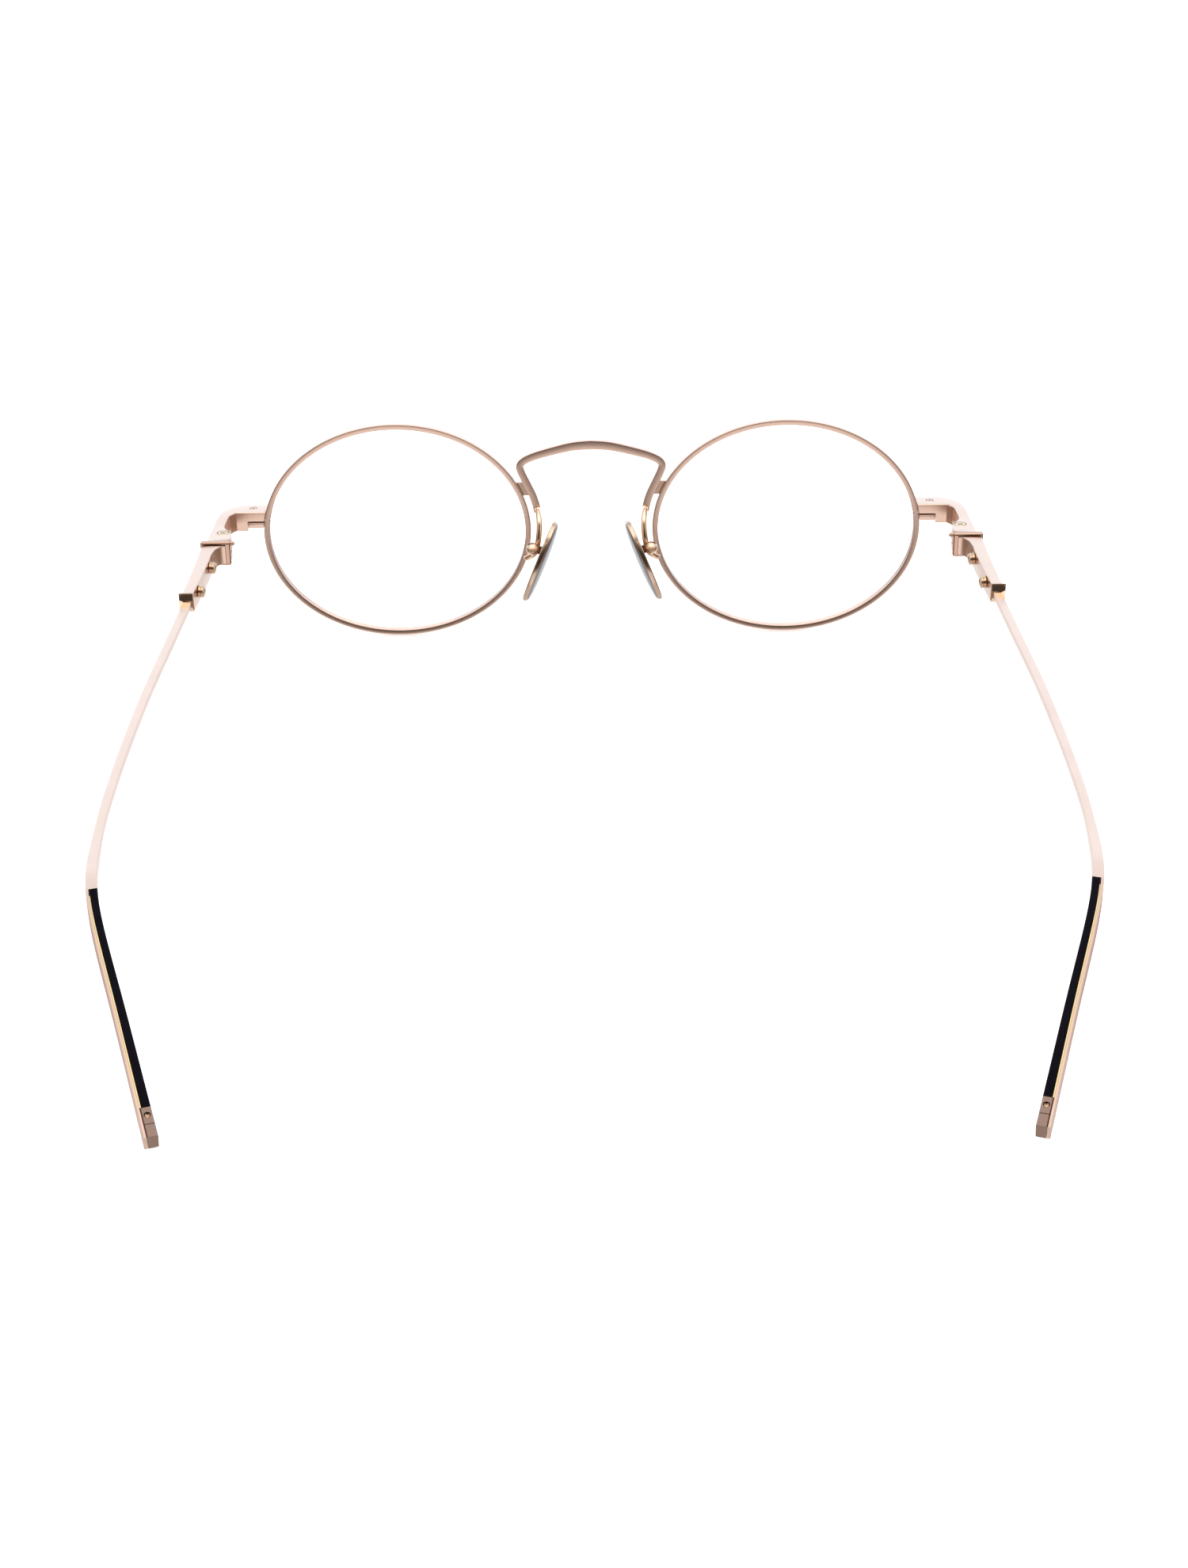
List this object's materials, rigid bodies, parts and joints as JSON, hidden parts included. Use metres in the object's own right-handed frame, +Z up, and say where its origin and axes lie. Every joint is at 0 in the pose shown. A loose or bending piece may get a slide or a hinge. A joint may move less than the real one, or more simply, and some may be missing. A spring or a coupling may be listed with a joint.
{
  "type": "eyeglasses",
  "caption": "Oval wire-rim eyeglasses in rose-gold metal with a saddle bridge, oval nose pads, slim temples folding on screw hinges, and black-backed tips.",
  "frame": {"origin": "middle of the footprint of the open glasses, on the table they stand on", "axes": "+X to the wearer's left, the front faces -Y and the temples run to +Y, +Z up"},
  "size_m": [0.145, 0.1584, 0.0378],
  "materials": {
    "rose_gold": "polished rose-gold plated metal",
    "pale_gold": "bright polished rose-gold plated metal",
    "screw_gold": "darker turned metal",
    "pad_metal": "satin silver-grey metal leaf with a gilt back",
    "lens": "clear, uncoloured",
    "tip_black": "glossy black"
  },
  "bodies": {
    "front": {"bridge": "rose_gold", "rim_left": "rose_gold", "rim_right": "rose_gold", "lens_left": "lens", "lens_right": "lens", "endpiece_left": "rose_gold", "endpiece_right": "rose_gold", "rim_lock_left": "rose_gold", "rim_lock_right": "rose_gold", "rim_screw_left": "screw_gold", "rim_screw_right": "screw_gold", "hinge_screw_left": "screw_gold", "hinge_screw_right": "screw_gold", "pad_arm_left": "pale_gold", "pad_arm_right": "pale_gold", "pad_box_left": "pale_gold", "pad_box_right": "pale_gold", "pad_screw_left": "screw_gold", "pad_screw_right": "screw_gold"},
    "temple_left": {"temple_plate_left": "rose_gold", "temple_collar_left": "pale_gold", "stud_front_left": "screw_gold", "stud_rear_left": "screw_gold", "temple_ferrule_left": "pale_gold", "temple_bar_left": "rose_gold", "tip_sleeve_left": "tip_black", "tip_end_cap_left": "rose_gold", "tip_screw_left": "screw_gold"},
    "temple_right": {"temple_plate_right": "rose_gold", "temple_collar_right": "pale_gold", "stud_front_right": "screw_gold", "stud_rear_right": "screw_gold", "temple_ferrule_right": "pale_gold", "temple_bar_right": "rose_gold", "tip_sleeve_right": "tip_black", "tip_end_cap_right": "rose_gold", "tip_screw_right": "screw_gold"},
    "pad_left": {"nose_pad_left": "pad_metal"},
    "pad_right": {"nose_pad_right": "pad_metal"}
  },
  "joints": [
    {"name": "temple_fold_left", "type": "hinge", "parent": "front", "child": "temple_left", "pos_m": [0.0636, -0.06647, 0.0207], "axis": [0, 0, 1], "range_deg": [0, 90]},
    {"name": "temple_fold_right", "type": "hinge", "parent": "front", "child": "temple_right", "pos_m": [-0.0636, -0.06647, 0.0207], "axis": [0, 0, -1], "range_deg": [0, 83]},
    {"name": "pad_rock_left", "type": "hinge", "parent": "front", "child": "pad_left", "pos_m": [0.01035, -0.06998, 0.01744], "axis": [0, 0.9882, 0.153], "range_deg": [-8, 8]},
    {"name": "pad_rock_right", "type": "hinge", "parent": "front", "child": "pad_right", "pos_m": [-0.01035, -0.06998, 0.01744], "axis": [0, 0.9882, 0.153], "range_deg": [-8, 8]}
  ]
}
